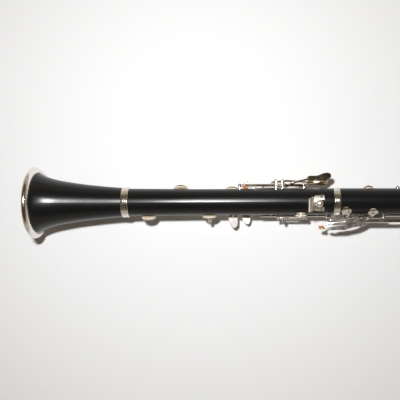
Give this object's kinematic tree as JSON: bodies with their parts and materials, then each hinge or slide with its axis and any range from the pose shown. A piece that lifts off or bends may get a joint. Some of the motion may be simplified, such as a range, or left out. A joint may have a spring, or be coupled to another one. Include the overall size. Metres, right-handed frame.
{
  "type": "soprano clarinet",
  "caption": "Straight black wooden clarinet with a flared bell, nickel ring keys, side levers and posts, thumb rest, barrel and reed mouthpiece.",
  "frame": {"origin": "centre of the bell's mouth plane, on the bore axis", "axes": "+X along the bore from the bell mouth to the mouthpiece tip, +Z out of the back of the instrument where the thumb rest is, +Y towards the player's left"},
  "size_m": [0.675, 0.0796, 0.0796],
  "materials": {
    "grenadilla": "satin oiled, near black",
    "key_nickel": "polished nickel plate",
    "post_nickel": "polished nickel plate",
    "ring_nickel": "polished nickel plate",
    "steel_rod": "turned steel",
    "pad": "cream skin over felt",
    "cork": "natural cork",
    "hard_rubber": "polished black",
    "cane": "bare cane",
    "ligature_metal": "polished nickel plate"
  },
  "bodies": {
    "lower_joint": {"lower_joint": "grenadilla", "bell_tenon_cork": "cork", "middle_ring": "ring_nickel", "lower_posts": "post_nickel", "lower_rods": "steel_rod", "thumb_rest": "key_nickel", "thumb_rest_screws": "steel_rod"},
    "bell": {"bell": "grenadilla", "bell_rim_ring": "ring_nickel", "bell_socket_ring": "ring_nickel"},
    "upper_joint": {"upper_joint": "grenadilla", "upper_tenon_corks": "cork", "upper_posts": "post_nickel", "upper_rods": "steel_rod"},
    "barrel": {"barrel": "grenadilla", "barrel_rings": "ring_nickel"},
    "mouthpiece": {"mouthpiece": "hard_rubber", "mouthpiece_cork": "cork", "reed": "cane", "ligature": "ligature_metal"},
    "ligature_screw_low": {"ligature_screw_low": "ligature_metal"},
    "ligature_screw_high": {"ligature_screw_high": "ligature_metal"},
    "low_e": {"low_e_key": "key_nickel", "low_e_pad": "pad"},
    "low_f": {"low_f_key": "key_nickel", "low_f_pad": "pad"},
    "low_f_sharp": {"low_f_sharp_key": "key_nickel", "low_f_sharp_pad": "pad"},
    "a_flat": {"a_flat_key": "key_nickel", "a_flat_pad": "pad"},
    "lower_rings": {"lower_rings_key": "key_nickel", "lower_rings_pad": "pad"},
    "lower_sliver": {"lower_sliver_key": "key_nickel", "lower_sliver_pad": "pad"},
    "left_f_sharp": {"left_f_sharp_lever": "key_nickel"},
    "left_e": {"left_e_lever": "key_nickel"},
    "left_f": {"left_f_lever": "key_nickel"},
    "side_e_flat": {"side_e_flat_key": "key_nickel", "side_e_flat_pad": "pad"},
    "side_f_sharp": {"side_f_sharp_key": "key_nickel", "side_f_sharp_pad": "pad"},
    "side_b_flat": {"side_b_flat_key": "key_nickel", "side_b_flat_pad": "pad"},
    "side_c": {"side_c_key": "key_nickel", "side_c_pad": "pad"},
    "c_sharp": {"c_sharp_key": "key_nickel", "c_sharp_pad": "pad"},
    "upper_bridge": {"upper_bridge_key": "key_nickel", "upper_bridge_pad": "pad"},
    "first_ring": {"first_ring_key": "key_nickel", "first_ring_pad": "pad"},
    "thumb_ring": {"thumb_ring_key": "key_nickel"},
    "upper_sliver": {"upper_sliver_key": "key_nickel", "upper_sliver_pad": "pad"},
    "throat_g_sharp": {"throat_g_sharp_key": "key_nickel", "throat_g_sharp_pad": "pad"},
    "register": {"register_key": "key_nickel", "register_pad": "pad"},
    "throat_a": {"throat_a_key": "key_nickel", "throat_a_pad": "pad"}
  },
  "joints": [
    {"name": "bell_pull", "type": "slide", "parent": "lower_joint", "child": "bell", "axis": [-1, 0, 0], "range_m": [0, 0.006]},
    {"name": "middle_pull", "type": "slide", "parent": "lower_joint", "child": "upper_joint", "axis": [1, 0, 0], "range_m": [0, 0.0015]},
    {"name": "barrel_pull", "type": "slide", "parent": "upper_joint", "child": "barrel", "axis": [1, 0, 0], "range_m": [0, 0.004]},
    {"name": "mouthpiece_pull", "type": "slide", "parent": "barrel", "child": "mouthpiece", "axis": [1, 0, 0], "range_m": [0, 0.004]},
    {"name": "ligature_screw_low_turn", "type": "hinge", "parent": "mouthpiece", "child": "ligature_screw_low", "pos_m": [0.6165, 0, 0.017], "axis": [0, 1, 0], "range_deg": [-360, 360]},
    {"name": "ligature_screw_high_turn", "type": "hinge", "parent": "mouthpiece", "child": "ligature_screw_high", "pos_m": [0.6295, 0, 0.017], "axis": [0, 1, 0], "range_deg": [-360, 360]},
    {"name": "low_e_swing", "type": "hinge", "parent": "lower_joint", "child": "low_e", "pos_m": [0.128, -0.01093, -0.01505], "axis": [1, 0, 0], "range_deg": [-10, 0], "stiffness_Nm_per_rad": 0.03, "springref_deg": 20.05},
    {"name": "low_f_swing", "type": "hinge", "parent": "lower_joint", "child": "low_f", "pos_m": [0.197, -0.00544, -0.01779], "axis": [1, 0, 0], "range_deg": [-6, 0], "stiffness_Nm_per_rad": 0.03, "springref_deg": 20.05},
    {"name": "low_f_sharp_swing", "type": "hinge", "parent": "lower_joint", "child": "low_f_sharp", "pos_m": [0.165, 0.00097, -0.01858], "axis": [1, 0, 0], "range_deg": [0, 5.5], "stiffness_Nm_per_rad": 0.03, "springref_deg": -20.05},
    {"name": "a_flat_swing", "type": "hinge", "parent": "lower_joint", "child": "a_flat", "pos_m": [0.222, 0.0093, -0.01611], "axis": [1, 0, 0], "range_deg": [-9, 0], "stiffness_Nm_per_rad": 0.03, "springref_deg": 20.05},
    {"name": "lower_rings_swing", "type": "hinge", "parent": "lower_joint", "child": "lower_rings", "pos_m": [0.29, -0.01594, -0.00958], "axis": [1, 0, 0], "range_deg": [0, 5], "stiffness_Nm_per_rad": 0.03, "springref_deg": -20.05},
    {"name": "lower_sliver_swing", "type": "hinge", "parent": "lower_joint", "child": "lower_sliver", "pos_m": [0.29, -0.01832, -0.00323], "axis": [1, 0, 0], "range_deg": [0, 9], "stiffness_Nm_per_rad": 0.03, "springref_deg": -20.05},
    {"name": "left_f_sharp_swing", "type": "hinge", "parent": "lower_joint", "child": "left_f_sharp", "pos_m": [0.25, 0.01859, -0.00065], "axis": [1, 0, 0], "range_deg": [-4.5, 0], "stiffness_Nm_per_rad": 0.006, "springref_deg": 20.05},
    {"name": "left_e_swing", "type": "hinge", "parent": "lower_joint", "child": "left_e", "pos_m": [0.29, 0.01859, -0.00065], "axis": [1, 0, 0], "range_deg": [0, 6], "stiffness_Nm_per_rad": 0.006, "springref_deg": -20.05},
    {"name": "left_f_swing", "type": "hinge", "parent": "lower_joint", "child": "left_f", "pos_m": [0.275, 0.01466, -0.01145], "axis": [1, 0, 0], "range_deg": [0, 6], "stiffness_Nm_per_rad": 0.006, "springref_deg": -20.05},
    {"name": "side_e_flat_swing", "type": "hinge", "parent": "upper_joint", "child": "side_e_flat", "pos_m": [0.352, -0.01797, 0.00481], "axis": [1, 0, 0], "range_deg": [0, 8], "stiffness_Nm_per_rad": 0.03, "springref_deg": -20.05},
    {"name": "side_f_sharp_swing", "type": "hinge", "parent": "upper_joint", "child": "side_f_sharp", "pos_m": [0.375, -0.01797, 0.00481], "axis": [1, 0, 0], "range_deg": [0, 8], "stiffness_Nm_per_rad": 0.03, "springref_deg": -20.05},
    {"name": "side_b_flat_swing", "type": "hinge", "parent": "upper_joint", "child": "side_b_flat", "pos_m": [0.43, -0.0226, 0], "axis": [1, 0, 0], "range_deg": [0, 8], "stiffness_Nm_per_rad": 0.03, "springref_deg": -20.05},
    {"name": "side_c_swing", "type": "hinge", "parent": "upper_joint", "child": "side_c", "pos_m": [0.44, -0.02212, -0.00552], "axis": [1, 0, 0], "range_deg": [0, 8], "stiffness_Nm_per_rad": 0.03, "springref_deg": -20.05},
    {"name": "c_sharp_swing", "type": "hinge", "parent": "upper_joint", "child": "c_sharp", "pos_m": [0.37, 0.01338, -0.01292], "axis": [1, 0, 0], "range_deg": [-8, 0], "stiffness_Nm_per_rad": 0.03, "springref_deg": 20.05},
    {"name": "upper_bridge_swing", "type": "hinge", "parent": "upper_joint", "child": "upper_bridge", "pos_m": [0.4, -0.01594, -0.00958], "axis": [1, 0, 0], "range_deg": [0, 5], "stiffness_Nm_per_rad": 0.03, "springref_deg": -20.05},
    {"name": "first_ring_swing", "type": "hinge", "parent": "upper_joint", "child": "first_ring", "pos_m": [0.465, -0.01594, -0.00958], "axis": [1, 0, 0], "range_deg": [0, 5], "stiffness_Nm_per_rad": 0.03, "springref_deg": -20.05},
    {"name": "thumb_ring_swing", "type": "hinge", "parent": "upper_joint", "child": "thumb_ring", "pos_m": [0.471, -0.01797, 0.00481], "axis": [1, 0, 0], "range_deg": [-4.5, 0], "stiffness_Nm_per_rad": 0.03, "springref_deg": 20.05},
    {"name": "upper_sliver_swing", "type": "hinge", "parent": "upper_joint", "child": "upper_sliver", "pos_m": [0.415, 0.01542, -0.0104], "axis": [1, 0, 0], "range_deg": [-8, 0], "stiffness_Nm_per_rad": 0.03, "springref_deg": 20.05},
    {"name": "throat_g_sharp_swing", "type": "hinge", "parent": "upper_joint", "child": "throat_g_sharp", "pos_m": [0.485, 0.01505, -0.01093], "axis": [1, 0, 0], "range_deg": [-8, 0], "stiffness_Nm_per_rad": 0.03, "springref_deg": 20.05},
    {"name": "register_swing", "type": "hinge", "parent": "upper_joint", "child": "register", "pos_m": [0.497, 0, 0.0186], "axis": [0, 1, 0], "range_deg": [-6, 0], "stiffness_Nm_per_rad": 0.03, "springref_deg": 20.05},
    {"name": "throat_a_swing", "type": "hinge", "parent": "upper_joint", "child": "throat_a", "pos_m": [0.493, 0, -0.0186], "axis": [0, 1, 0], "range_deg": [0, 6], "stiffness_Nm_per_rad": 0.03, "springref_deg": -20.05}
  ],
  "couplings": [
    {"joint": "left_e_swing", "follows": "low_e_swing", "ratio": -0.6},
    {"joint": "left_f_swing", "follows": "low_f_swing", "ratio": -1},
    {"joint": "left_f_sharp_swing", "follows": "low_f_sharp_swing", "ratio": -0.81818},
    {"joint": "upper_bridge_swing", "follows": "lower_rings_swing", "ratio": 1}
  ]
}
